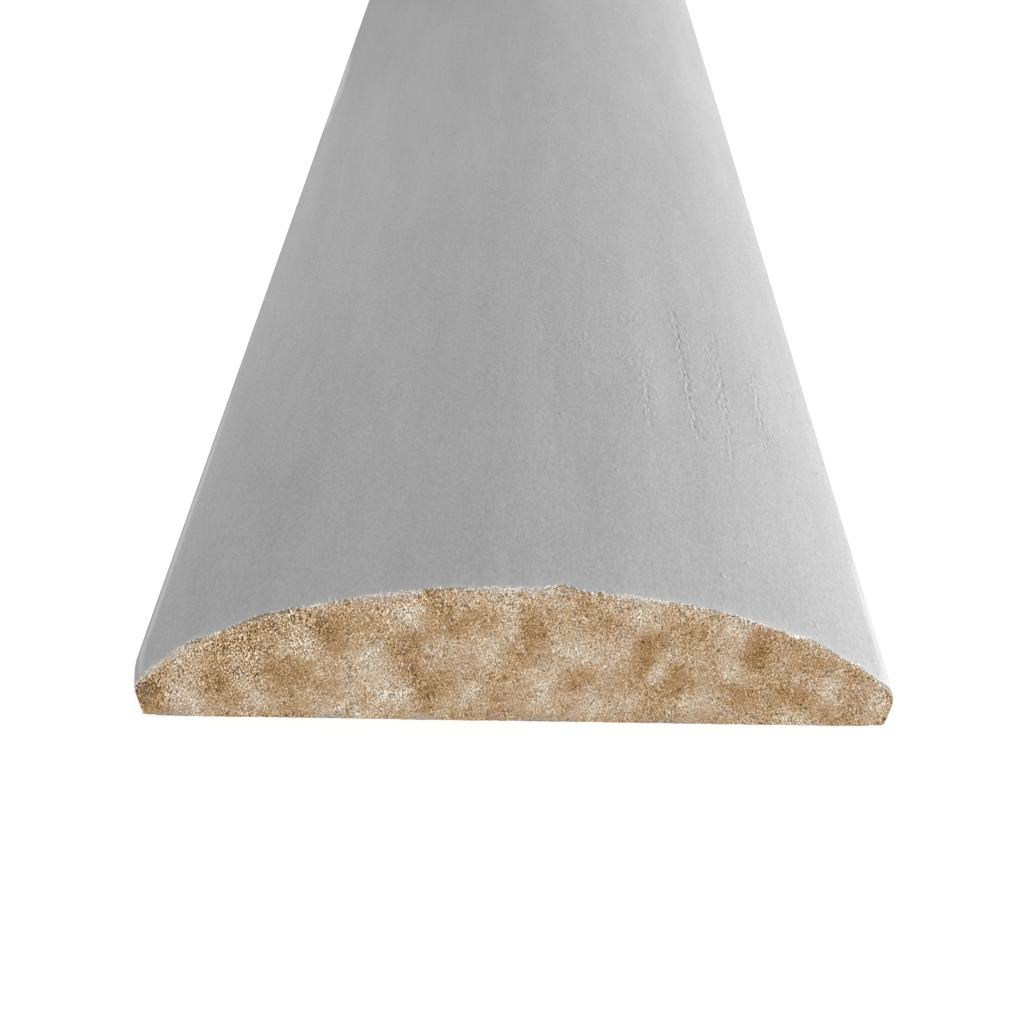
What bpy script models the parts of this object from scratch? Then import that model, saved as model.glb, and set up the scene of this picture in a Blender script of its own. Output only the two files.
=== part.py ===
"""Batten moulding: a short length of flat-backed strip with a crowned face.

The strip is one solid of medium density fibreboard (MDF), milled to a symmetrical section and cut square at
both ends. It lies on its flat back with its length along Y, its width along X and its crown up. The origin
is under the middle of the strip, on the plane of the back.

The section, from the middle of the back outwards and up: the flat back, a small rounded arris, an edge that
leans out a little as it rises, a short upright land at the full width, a rounded shoulder, and a crown that
is the middle part of an ellipse. The crown and the shoulder meet without a corner.
"""

import math

import bmesh
import bpy

# Driving dimensions, in metres
LENGTH = 0.135
WIDTH = 0.03175
THICKNESS = 0.00635
BACK_ARRIS_RADIUS = 0.00025
UNDERCUT_HEIGHT = 0.00105  # from the back up to the land
EDGE_LAND = 0.0002  # height of the upright land at the full width
SHOULDER_RADIUS = 0.0006
CROWN_OVERHANG = 0.0016  # how far the crown's whole ellipse would reach past each edge

# Lean of the edge below its land, from upright
UNDERCUT_ANGLE = math.radians(14)

# Straight facets along each curve of one half of the section
ARRIS_FACETS = 4
SHOULDER_FACETS = 6
CROWN_FACETS = 28

# An edge between two faces that turn more than this stays crisp
SHARP_ANGLE = math.radians(20)
CROWN_FIT_ROUNDS = 60

PRIMER_COLOUR = (0.47, 0.47, 0.47, 1.0)
PRIMER_ROUGHNESS = 0.7


def clear_scene():
    """Remove whatever objects the file holds."""
    for obj in list(bpy.data.objects):
        bpy.data.objects.remove(obj, do_unlink=True)


def arc(centre, radius, start, end, facets):
    """Points on a circle from one angle to another, both ends included."""
    turns = [start + (end - start) * step / facets for step in range(facets + 1)]
    return [(centre[0] + radius * math.cos(turn), centre[1] + radius * math.sin(turn)) for turn in turns]


def crown_point(semi_width, semi_height, turn):
    """Point of the crown's ellipse, and its outward normal, a turn away from the top of the crown."""
    point = (semi_width * math.sin(turn), THICKNESS - semi_height * (1 - math.cos(turn)))
    normal = (math.sin(turn) / semi_width, math.cos(turn) / semi_height)
    size = math.hypot(*normal)
    return point, (normal[0] / size, normal[1] / size)


def shoulder_turn(semi_width, semi_height):
    """Turn at which the ellipse, moved in by the shoulder's radius, reaches the shoulder's centre line."""
    low = 0.0
    high = math.pi / 2
    for _ in range(CROWN_FIT_ROUNDS):
        middle = (low + high) / 2
        point, normal = crown_point(semi_width, semi_height, middle)
        if point[0] - SHOULDER_RADIUS * normal[0] < WIDTH / 2 - SHOULDER_RADIUS:
            low = middle
        else:
            high = middle
    return (low + high) / 2


def fitted_crown():
    """Half axes of the crown's ellipse, and the turn where it runs into the shoulder.

    The ellipse is as high as it must be to touch the shoulder's arc, whose centre is level with the top of
    the land.
    """
    semi_width = WIDTH / 2 + CROWN_OVERHANG
    land_top = UNDERCUT_HEIGHT + EDGE_LAND
    low = 0.0
    high = semi_width
    for _ in range(CROWN_FIT_ROUNDS):
        semi_height = (low + high) / 2
        turn = shoulder_turn(semi_width, semi_height)
        point, normal = crown_point(semi_width, semi_height, turn)
        if point[1] - SHOULDER_RADIUS * normal[1] > land_top:
            low = semi_height
        else:
            high = semi_height
    return semi_width, semi_height, turn


def half_section():
    """Points of the section's right half, from the back's arris up to the top of the crown."""
    half_width = WIDTH / 2
    land_top = UNDERCUT_HEIGHT + EDGE_LAND

    # The arris turns from the back into the leaning edge
    foot = half_width - UNDERCUT_HEIGHT * math.tan(UNDERCUT_ANGLE)
    arris_turn = math.pi / 2 - UNDERCUT_ANGLE
    arris_centre = (foot - BACK_ARRIS_RADIUS * math.tan(arris_turn / 2), BACK_ARRIS_RADIUS)
    points = arc(arris_centre, BACK_ARRIS_RADIUS, -math.pi / 2, -UNDERCUT_ANGLE, ARRIS_FACETS)
    points.append((half_width, UNDERCUT_HEIGHT))

    # The shoulder starts upright at the land and ends where the crown takes over
    semi_width, semi_height, turn = fitted_crown()
    normal = crown_point(semi_width, semi_height, turn)[1]
    shoulder_centre = (half_width - SHOULDER_RADIUS, land_top)
    shoulder_end = math.atan2(normal[1], normal[0])
    points += arc(shoulder_centre, SHOULDER_RADIUS, 0.0, shoulder_end, SHOULDER_FACETS)

    for step in range(1, CROWN_FACETS + 1):
        points.append(crown_point(semi_width, semi_height, turn * (1 - step / CROWN_FACETS))[0])
    return points


def section():
    """The whole closed outline, seen from -Y, anticlockwise from the back's right arris."""
    right = half_section()
    left = [(-x, z) for x, z in reversed(right[:-1])]
    return right + left


def primer_material():
    """Matt water-based primer, grey-white."""
    material = bpy.data.materials.new("primer")
    material.use_nodes = True
    shader = material.node_tree.nodes["Principled BSDF"]
    shader.inputs["Base Color"].default_value = PRIMER_COLOUR
    shader.inputs["Roughness"].default_value = PRIMER_ROUGHNESS
    shader.inputs["Metallic"].default_value = 0.0
    material.diffuse_color = PRIMER_COLOUR
    return material


def batten_strip():
    """The strip: its section, drawn at one end, extruded along the whole length."""
    shape = bmesh.new()
    start = -LENGTH / 2
    end_face = shape.faces.new([shape.verts.new((x, start, z)) for x, z in section()])
    extruded = bmesh.ops.extrude_face_region(shape, geom=[end_face], use_keep_orig=True)
    moved = [item for item in extruded["geom"] if isinstance(item, bmesh.types.BMVert)]
    bmesh.ops.translate(shape, verts=moved, vec=(0.0, LENGTH, 0.0))
    bmesh.ops.recalc_face_normals(shape, faces=shape.faces)

    mesh = bpy.data.meshes.new("batten_strip")
    shape.to_mesh(mesh)
    shape.free()
    mesh.materials.append(primer_material())
    mesh.shade_smooth()
    mesh.set_sharp_from_angle(angle=SHARP_ANGLE)
    strip = bpy.data.objects.new("batten_strip", mesh)
    bpy.context.scene.collection.objects.link(strip)
    return strip


def main():
    """Build the moulding in an empty scene."""
    clear_scene()
    batten_strip()


main()
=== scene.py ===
"""Looks of a batten moulding: primed fibreboard, cut square, seen end on from above.

The strip is dressed as what it is: a core of medium density fibreboard with sawn ends, a thin coat of matt
primer over its crown and edges, and the loose fibres and crumbs that the saw left along each cut.
"""

from __future__ import annotations

import logging
import math
from collections.abc import Callable
from dataclasses import dataclass, field
from enum import Enum
from functools import cached_property

import bpy
import numpy as np
from mathutils import Matrix, Vector

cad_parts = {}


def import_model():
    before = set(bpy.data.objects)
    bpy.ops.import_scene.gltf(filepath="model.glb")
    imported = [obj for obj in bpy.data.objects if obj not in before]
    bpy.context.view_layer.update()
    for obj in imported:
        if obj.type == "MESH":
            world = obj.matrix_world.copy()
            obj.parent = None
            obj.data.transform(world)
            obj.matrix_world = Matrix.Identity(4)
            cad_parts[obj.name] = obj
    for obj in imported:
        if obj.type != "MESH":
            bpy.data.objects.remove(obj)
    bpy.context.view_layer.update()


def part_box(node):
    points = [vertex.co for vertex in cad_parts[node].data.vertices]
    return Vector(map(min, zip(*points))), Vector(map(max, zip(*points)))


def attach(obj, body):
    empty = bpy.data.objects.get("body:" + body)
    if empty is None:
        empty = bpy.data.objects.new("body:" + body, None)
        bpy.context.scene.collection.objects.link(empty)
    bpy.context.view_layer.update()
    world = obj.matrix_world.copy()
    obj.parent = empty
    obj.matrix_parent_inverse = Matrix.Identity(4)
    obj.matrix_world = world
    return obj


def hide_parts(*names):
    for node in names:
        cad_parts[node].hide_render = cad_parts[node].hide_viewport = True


log = logging.getLogger("batten")

Tree = bpy.types.NodeTree
Socket = bpy.types.NodeSocket
Colour = tuple[float, float, float, float]

MM = 0.001
NODE = "batten_strip"
BODY = "root"

# Name of each piece's bake map
BAKE_MAP = "OFBake"

# Primes that part the axes of a lattice, and the multipliers that stir a hashed whole number
AXIS_PRIMES = (73856093, 19349663, 83492791)
STIR_FIRST = np.uint32(0x7FEB352D)
STIR_SECOND = np.uint32(0x846CA68B)
MOST_UINT32 = float(2**32 - 1)


class End(Enum):
    """The two square-cut ends, by the side of the strip that they face."""

    NEAR = -1
    FAR = 1


class Slot(Enum):
    """The record's material slots."""

    PRIMER = "primer"
    FIBREBOARD = "sawn_fibreboard"


# Noise and other shapes on whole arrays


def hashed(cells: np.ndarray, seed: int) -> np.ndarray:
    """Give each cell of a lattice its own number from 0 to 1.

    Args:
        cells: Whole numbers, with one axis of the lattice in each item of the last dimension.
        seed: Which of many independent sets of numbers to give.

    Returns:
        One number for each cell.
    """
    stirred = np.full(cells.shape[:-1], seed, np.uint32)
    for axis in range(cells.shape[-1]):
        stirred ^= cells[..., axis].astype(np.int64).astype(np.uint32) * np.uint32(AXIS_PRIMES[axis])
    stirred = (stirred ^ (stirred >> 16)) * STIR_FIRST
    stirred = (stirred ^ (stirred >> 15)) * STIR_SECOND
    return (stirred ^ (stirred >> 16)) / MOST_UINT32


def smooth_noise(points: np.ndarray, cell: float | tuple[float, ...], seed: int) -> np.ndarray:
    """Smooth noise: hashed values on a lattice, eased from one lattice point to the next.

    The ease along each axis is the fifth-degree curve that is flat at both ends.

    Args:
        points: Places, one axis in each item of the last dimension.
        cell: Size of a lattice cell, one for all axes or one for each.
        seed: Which noise.

    Returns:
        Values from -1 to 1.
    """
    scaled = points / np.asarray(cell, float)
    low = np.floor(scaled)
    part = scaled - low
    ease = part**3 * (part * (part * 6 - 15) + 10)
    low = low.astype(np.int64)
    total = np.zeros(points.shape[:-1])
    for corner in np.ndindex(*(2,) * points.shape[-1]):
        step = np.array(corner)
        weight = np.prod(np.where(step == 1, ease, 1 - ease), axis=-1)
        total += weight * hashed(low + step, seed)
    return total * 2 - 1


def fractal_noise(
    points: np.ndarray, cell: float | tuple[float, ...], octaves: int, seed: int, gain: float = 0.5
) -> np.ndarray:
    """Smooth noise plus finer noise: each octave has half the cell and gain times the height.

    Args:
        points: Places, one axis in each item of the last dimension.
        cell: Cell size of the coarsest octave.
        octaves: How many octaves.
        seed: Which noise.
        gain: Height of an octave as a share of the one before.

    Returns:
        Values from about -1 to 1.
    """
    total = np.zeros(points.shape[:-1])
    height = 1.0
    reach = 0.0
    for octave in range(octaves):
        total += height * smooth_noise(points, np.asarray(cell, float) / 2**octave, seed + octave)
        reach += height
        height *= gain
    return total / reach


def smoothstep(low: float, high: float, value: np.ndarray) -> np.ndarray:
    """Rise from 0 at low to 1 at high, level at both ends."""
    share = np.clip((value - low) / (high - low), 0.0, 1.0)
    return share * share * (3 - 2 * share)


def bell(distance: np.ndarray, reach: float | np.ndarray) -> np.ndarray:
    """A rounded bump: 1 in its middle, and e to the power -1 at its reach."""
    return np.exp(-((distance / reach) ** 2))


def unit(vectors: np.ndarray) -> np.ndarray:
    """Vectors in the last dimension, each scaled to length 1."""
    return vectors / np.linalg.norm(vectors, axis=-1, keepdims=True)


def graded(start: float, stop: float, spacing: Callable[[np.ndarray], np.ndarray]) -> np.ndarray:
    """Positions from start to stop whose gaps follow a wanted spacing.

    The running sum of one over the spacing counts the gaps; positions are read off at even counts.

    Args:
        start: First position.
        stop: Last position.
        spacing: Gives the wanted gap at each of many positions.

    Returns:
        The positions in rising order, both ends included.
    """
    fine = np.linspace(start, stop, 4000)
    density = 1 / spacing(fine)
    count = np.concatenate([[0.0], np.cumsum((density[1:] + density[:-1]) / 2 * np.diff(fine))])
    gaps = max(1, round(count[-1]))
    return np.interp(np.linspace(0, count[-1], gaps + 1), count, fine)


# The strip's form, as the CAD model has it


@dataclass(frozen=True)
class Section:
    """Outline of the strip across its length, with the CAD model's own sizes.

    A place on the outline is its distance from the middle of the back, going round by +X, over the crown and
    back by -X.
    """

    width: float
    thickness: float
    arris_radius: float = 0.25 * MM
    undercut_height: float = 1.05 * MM
    undercut_angle: float = math.radians(14)
    edge_land: float = 0.2 * MM
    shoulder_radius: float = 0.6 * MM
    crown_overhang: float = 1.6 * MM
    curve_points: int = 1200
    fit_rounds: int = 60

    def _crown(self, semi_height: float, turn: np.ndarray | float) -> tuple[np.ndarray, np.ndarray]:
        """Points and outward normals of the crown's ellipse.

        A point is the half width times the turn's sine across, and the half height times one minus its
        cosine down. The normal is each coordinate over the square of its own half axis.

        Args:
            semi_height: Half height of the ellipse.
            turn: How far round from the crown's top each point is.

        Returns:
            Points and unit normals, each with x and z in the last dimension.
        """
        semi_width = self.width / 2 + self.crown_overhang
        sine, cosine = np.sin(turn), np.cos(turn)
        points = np.stack([semi_width * sine, self.thickness - semi_height * (1 - cosine)], -1)
        return points, unit(np.stack([sine / semi_width, cosine / semi_height], -1))

    def _shoulder_turn(self, semi_height: float) -> float:
        """Turn at which the ellipse, moved in by the shoulder's radius, meets the shoulder's centre line.

        Args:
            semi_height: Half height of the ellipse.

        Returns:
            The turn from the crown's top, in radians, found by halving.
        """
        low, high = 0.0, math.pi / 2
        for _ in range(self.fit_rounds):
            middle = (low + high) / 2
            point, normal = self._crown(semi_height, middle)
            short = point[0] - self.shoulder_radius * normal[0] < self.width / 2 - self.shoulder_radius
            low, high = (middle, high) if short else (low, middle)
        return (low + high) / 2

    @cached_property
    def _crown_fit(self) -> tuple[float, float, float]:
        """The ellipse that runs into the shoulder's arc without a corner.

        Returns:
            Its half height, its turn where it meets the arc, and the angle at which the arc ends there.
        """
        land_top = self.undercut_height + self.edge_land
        low, high = 0.0, self.width / 2 + self.crown_overhang
        turn = 0.0
        for _ in range(self.fit_rounds):
            semi_height = (low + high) / 2
            turn = self._shoulder_turn(semi_height)
            point, normal = self._crown(semi_height, turn)
            high_up = point[1] - self.shoulder_radius * normal[1] > land_top
            low, high = (semi_height, high) if high_up else (low, semi_height)
        semi_height = (low + high) / 2
        normal = self._crown(semi_height, turn)[1]
        return semi_height, turn, math.atan2(normal[1], normal[0])

    def _arc(
        self, centre: tuple[float, float], radius: float, start: float, end: float
    ) -> tuple[np.ndarray, np.ndarray]:
        """Points and outward normals along an arc.

        Args:
            centre: The arc's centre, x and z.
            radius: Its radius.
            start: Angle of its first point.
            end: Angle of its last point.

        Returns:
            Points and unit normals, each with x and z in the last dimension.
        """
        angle = np.linspace(start, end, self.curve_points)
        normals = np.stack([np.cos(angle), np.sin(angle)], -1)
        return np.asarray(centre) + radius * normals, normals

    @cached_property
    def _right_half(self) -> tuple[np.ndarray, np.ndarray]:
        """The right half: back, arris, leaning edge, land, shoulder and crown.

        Returns:
            Points and unit normals, each with x and z in the last dimension.
        """
        half, lean = self.width / 2, self.undercut_angle
        foot = half - self.undercut_height * math.tan(lean)
        arris_x = foot - self.arris_radius * math.tan((math.pi / 2 - lean) / 2)
        land_top = self.undercut_height + self.edge_land
        semi_height, turn, shoulder_end = self._crown_fit
        parts = [
            (np.array([[0.0, 0.0]]), np.array([[0.0, -1.0]])),
            self._arc((arris_x, self.arris_radius), self.arris_radius, -math.pi / 2, -lean),
            (np.array([[half, self.undercut_height]]), np.array([[math.cos(lean), -math.sin(lean)]])),
            (np.array([[half, self.undercut_height + 0.01 * MM]]), np.array([[1.0, 0.0]])),
            self._arc((half - self.shoulder_radius, land_top), self.shoulder_radius, 0.0, shoulder_end),
            self._crown(semi_height, np.linspace(turn, 0.0, self.curve_points)[1:]),
        ]
        return np.concatenate([p for p, _ in parts]), np.concatenate([n for _, n in parts])

    @cached_property
    def _table(self) -> tuple[np.ndarray, np.ndarray, np.ndarray]:
        """The whole outline, its left half mirrored from the right one.

        Returns:
            Distances round the outline, points and unit normals.
        """
        mirror = np.array([-1.0, 1.0])
        points, normals = (np.concatenate([half, half[-2::-1] * mirror]) for half in self._right_half)
        steps = np.linalg.norm(np.diff(points, axis=0), axis=1)
        return np.concatenate([[0.0], np.cumsum(steps)]), points, normals

    @property
    def girth(self) -> float:
        """Length of the whole outline."""
        return float(self._table[0][-1])

    @cached_property
    def back_end(self) -> float:
        """Distance from the middle of the back to where the arris starts."""
        return float(self._right_half[0][1, 0])

    @cached_property
    def lower_corner(self) -> float:
        """Distance to the middle of the right arris."""
        return self.back_end + self.arris_radius * (math.pi / 2 - self.undercut_angle) / 2

    @cached_property
    def upper_corner(self) -> float:
        """Distance to the middle of the right shoulder, whose arc starts after three lone points."""
        return float(self._table[0][self.curve_points + 3]) + self.shoulder_radius * self._crown_fit[2] / 2

    def at(self, distance: np.ndarray) -> tuple[np.ndarray, np.ndarray]:
        """Points and outward normals at distances round the outline.

        Args:
            distance: Distances from the middle of the back; negative ones count the other way.

        Returns:
            Points and unit normals, each with x and z in the last dimension.
        """
        along, points, normals = self._table
        wrapped = np.mod(distance, self.girth)
        point = np.stack([np.interp(wrapped, along, points[:, k]) for k in (0, 1)], -1)
        normal = np.stack([np.interp(wrapped, along, normals[:, k]) for k in (0, 1)], -1)
        return point, unit(normal)


@dataclass(frozen=True)
class Strip:
    """The strip as the frame has it: its section, and the places of its two cuts along Y."""

    section: Section
    near: float
    far: float

    @property
    def length(self) -> float:
        """Distance from cut to cut."""
        return self.far - self.near

    def cut(self, end: End) -> float:
        """Place of one cut along Y."""
        return self.near if end is End.NEAR else self.far


# Meshes from arrays


def around(grid: np.ndarray) -> list[np.ndarray]:
    """The four corners of each square of a grid, going first along a row and then up a column."""
    return [grid[:-1, :-1], grid[:-1, 1:], grid[1:, 1:], grid[1:, :-1]]


def quads(numbers: np.ndarray) -> np.ndarray:
    """Vertex numbers of the squares of a grid, one square to a row."""
    return np.stack(around(numbers), -1).reshape(-1, 4)


def unit_grid(rows: int, columns: int) -> tuple[np.ndarray, np.ndarray]:
    """Shares across and up, from 0 to 1, at each vertex of a grid."""
    up, across = np.meshgrid(np.linspace(0, 1, rows), np.linspace(0, 1, columns), indexing="ij")
    return across, up


@dataclass(frozen=True)
class MapField:
    """A rectangle of the bake map that a grid is laid out on."""

    left: float
    low: float
    right: float
    high: float

    def places(self, across: np.ndarray, up: np.ndarray) -> np.ndarray:
        """Place of each corner of a grid's squares.

        Args:
            across: Share of the way across at each vertex of the grid, from 0 to 1.
            up: Share of the way up at each vertex.

        Returns:
            One square to a row, in the order that quads gives.
        """
        u = self.left + (self.right - self.left) * across
        v = self.low + (self.high - self.low) * up
        return np.stack(around(np.stack([u, v], -1)), -2).reshape(-1, 4, 2)


@dataclass
class Surface:
    """A mesh in the making: vertices, faces, and what each vertex or face carries."""

    name: str
    vertices: np.ndarray
    faces: list[np.ndarray] = field(default_factory=list)
    face_materials: list[np.ndarray] = field(default_factory=list)
    face_maps: list[np.ndarray] = field(default_factory=list)
    values: dict[str, np.ndarray] = field(default_factory=dict)

    def add(self, corners: np.ndarray, material: int, places: np.ndarray) -> None:
        """Add faces that all have as many corners.

        Args:
            corners: Vertex numbers, one face to a row, anticlockwise from outside.
            material: Number of the material slot.
            places: Place of each corner on the bake map, from 0 to 1 both ways.
        """
        self.faces.append(corners)
        self.face_materials.append(np.full(len(corners), material))
        self.face_maps.append(places)

    def build(self, materials: list[bpy.types.Material], slot: Slot) -> bpy.types.Object:
        """Make the piece: smooth faces, with its place in its mesh, riding on the strip's body.

        Args:
            materials: The materials, in the order of their slots.
            slot: The record's slot for the piece; not used.

        Returns:
            The new object, linked to the scene.
        """
        mesh = bpy.data.meshes.new(self.name)
        corners = np.concatenate([rows.ravel() for rows in self.faces])
        totals = np.concatenate([np.full(len(rows), rows.shape[1]) for rows in self.faces])
        mesh.vertices.add(len(self.vertices))
        mesh.vertices.foreach_set("co", self.vertices.astype(np.float32).ravel())
        mesh.loops.add(len(corners))
        mesh.loops.foreach_set("vertex_index", corners.astype(np.int32))
        mesh.polygons.add(len(totals))
        starts = np.concatenate([[0], np.cumsum(totals)[:-1]])
        mesh.polygons.foreach_set("loop_start", starts.astype(np.int32))
        mesh.polygons.foreach_set("material_index", np.concatenate(self.face_materials).astype(np.int32))
        bake = mesh.uv_layers.new(name=BAKE_MAP)
        places = np.concatenate([rows.reshape(-1, 2) for rows in self.face_maps])
        bake.uv.foreach_set("vector", places.astype(np.float32).ravel())
        for name, value in self.values.items():
            attribute = mesh.attributes.new(name, "FLOAT", "POINT")
            attribute.data.foreach_set("value", value.astype(np.float32))
        mesh.update(calc_edges=True)
        mesh.shade_smooth()
        for material in materials:
            mesh.materials.append(material)
        piece = bpy.data.objects.new(self.name, mesh)
        bpy.context.scene.collection.objects.link(piece)
        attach(piece, BODY)
        return piece


# Finishes


def linear(colour: str) -> Colour:
    """Turn an sRGB hex colour such as #A9A9A9 to linear red, green, blue and alpha."""
    parts = [int(colour[k : k + 2], 16) / 255 for k in (1, 3, 5)]
    return *[c / 12.92 if c <= 0.04045 else ((c + 0.055) / 1.055) ** 2.4 for c in parts], 1.0


def fill_inputs(tree: Tree, node: bpy.types.Node, inputs: dict[str | int, object]) -> None:
    """Set a node's inputs, or link them where an output socket is given.

    Args:
        tree: The node tree.
        node: The node.
        inputs: Socket name or number, and the value or the output socket that it takes.
    """
    for name, value in inputs.items():
        if isinstance(value, Socket):
            tree.links.new(value, node.inputs[name])
        else:
            node.inputs[name].default_value = value


def add_node(
    tree: Tree,
    kind: str,
    inputs: dict[str | int, object],
    out: str | int = 0,
    stops: dict[float, Colour] | None = None,
    **settings: str | bool,
) -> Socket:
    """Add a node with its settings, what goes into it and, on a colour ramp, its stops.

    Args:
        tree: The node tree.
        kind: The node's type, less the ShaderNode that Blender's own names for them start with.
        inputs: Socket name or number, and the value or the output socket that it takes.
        out: Name or number of the output that is wanted.
        stops: Places along a colour ramp in rising order, two or more, each with its colour.
        settings: Properties of the node.

    Returns:
        The wanted output.
    """
    node = tree.nodes.new(f"ShaderNode{kind}")
    for name, value in settings.items():
        setattr(node, name, value)
    fill_inputs(tree, node, inputs)
    for number, (place, colour) in enumerate((stops or {}).items()):
        elements = node.color_ramp.elements
        element = elements[number] if number < 2 else elements.new(place)
        element.position = place
        element.color = colour
    return node.outputs[out]


def add_specks(tree: Tree, place: Socket, cell: float, radius: float, chosen: tuple[float, float]) -> Socket:
    """Add round specks, one to some of the cells of a Voronoi pattern.

    Args:
        tree: The node tree.
        place: Where the pattern is read.
        cell: Size of a cell.
        radius: A speck's radius as a share of its cell.
        chosen: Random value of a cell from which its speck starts to show, and from which it shows in full.

    Returns:
        The specks' strength, from 0 to 1.
    """
    distance = add_node(tree, "TexVoronoi", {"Vector": place, "Scale": 1 / cell}, "Distance")
    speck = add_node(tree, "MapRange", {"Value": distance, "From Min": radius, "From Max": 0.6 * radius})
    own = add_node(tree, "SeparateColor", {"Color": distance.node.outputs["Color"]})
    some = add_node(tree, "MapRange", {"Value": own, "From Min": chosen[0], "From Max": chosen[1]})
    return add_node(tree, "Math", {0: speck, 1: some}, operation="MULTIPLY")


def new_material(name: str) -> tuple[bpy.types.Material, Tree, bpy.types.Node]:
    """A material with its node tree and its Principled shader."""
    material = bpy.data.materials.new(name)
    material.use_nodes = True
    return material, material.node_tree, material.node_tree.nodes["Principled BSDF"]


@dataclass(frozen=True)
class PrimerFinish:
    """Matt water-based primer, sprayed on fibreboard in one thin coat and left unsanded.

    The eye gets an even grey without shine, dry and faintly speckled, with grit standing under it. The
    pigment's own grain is finer than a pixel, so it is drawn as coarse as it needs to show.
    """

    colour: str = "#A0A0A0"
    pale: str = "#AAAAAA"
    dull: str = "#969696"
    broken: str = "#D6D4D0"
    # Painted highlight and painted shade for the paler and darker streaks along the edges
    streak_highlight: str = "#BDBDBB"
    streak_shade: str = "#84827E"
    roughness: float = 0.68
    ior: float = 1.5
    mottle: float = 4.0 * MM
    grain: float = 0.13 * MM
    peel: float = 0.4 * MM
    nib: float = 0.2 * MM
    speck: float = 1.3 * MM

    # Scale along the strip, against 1 across it, of the grain and of the clouding
    draw: float = 0.42
    streak: float = 0.12

    def material(self) -> bpy.types.Material:
        """Build the material: an even grey, faintly clouded, with a fine dry grain.

        Returns:
            The material.
        """
        material, tree, shader = new_material("water_based_primer")
        place = add_node(tree, "TexCoord", {}, "Object")
        drawn = add_node(tree, "Mapping", {"Vector": place, "Scale": (1.0, self.draw, 1.0)})
        streaked = add_node(tree, "Mapping", {"Vector": place, "Scale": (1.0, self.streak, 1.0)})

        # Clouding from uneven soak into the board, and the speckle of dry pigment
        cloud = add_node(
            tree, "TexNoise", {"Vector": streaked, "Scale": 1 / self.mottle, "Detail": 4.5, "Roughness": 0.8}
        )
        speckle = add_node(
            tree, "TexNoise", {"Vector": drawn, "Scale": 1 / self.grain, "Detail": 2.0, "Roughness": 0.7}
        )
        both = add_node(tree, "Mix", {0: 0.58, 2: cloud, 3: speckle}, data_type="FLOAT")
        stops = {0.36: linear(self.dull), 0.5: linear(self.colour), 0.64: linear(self.pale)}
        colour = add_node(tree, "ValToRGB", {"Fac": both}, stops=stops)

        # Orange peel, nibs of grit where the mask asks for them, and lone specks of grit here and there
        peel = add_node(
            tree, "TexNoise", {"Vector": drawn, "Scale": 1 / self.peel, "Detail": 2.0, "Roughness": 0.55}
        )
        grit = add_node(
            tree, "TexNoise", {"Vector": drawn, "Scale": 1 / self.nib, "Detail": 1.0, "Roughness": 0.5}
        )
        crumbs = add_node(tree, "MapRange", {"Value": grit, "From Min": 0.52, "From Max": 0.66})
        gritty, dark_streak_shade, shading_streak, cut_edge = (
            add_node(tree, "Attribute", {}, "Fac", attribute_name=name)
            for name in ("nib_mask", "dark_streak_shade", "shading_streak", "cut_edge")
        )
        nibs = add_node(tree, "Math", {0: crumbs, 1: gritty}, operation="MULTIPLY")
        specks = add_specks(tree, place, self.speck, 0.105, (0.4, 0.6))
        # Painted highlight: lone grit specks are tinted pale as well as raised
        speck_highlight = add_node(tree, "Math", {0: specks, 1: 0.25}, operation="MULTIPLY")

        # The coat is pale and chalky where it broke; its paler and darker streaks are painted highlight and
        # painted shade on the left shoulder, and lone grit specks are tinted pale as a painted highlight
        tints = ((dark_streak_shade, self.streak_shade), (shading_streak, self.streak_highlight), (cut_edge, self.broken), (speck_highlight, self.broken))
        for share, tint in tints:
            colour = add_node(tree, "Mix", {0: share, 6: colour, 7: linear(tint)}, 2, data_type="RGBA")
        below: dict[str, Socket] = {}
        reliefs = ((peel, 0.6, 0.03), (speckle, 0.45, 0.03), (nibs, 1.0, 0.035), (specks, 1.0, 0.04))
        for height, strength, distance in reliefs:
            bump = {"Height": height, "Strength": strength, "Distance": distance * MM}
            below = {"Normal": add_node(tree, "Bump", bump | below)}
        plain = {"Base Color": colour, "Roughness": self.roughness, "IOR": self.ior}
        fill_inputs(tree, shader, plain | below)
        return material


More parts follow.
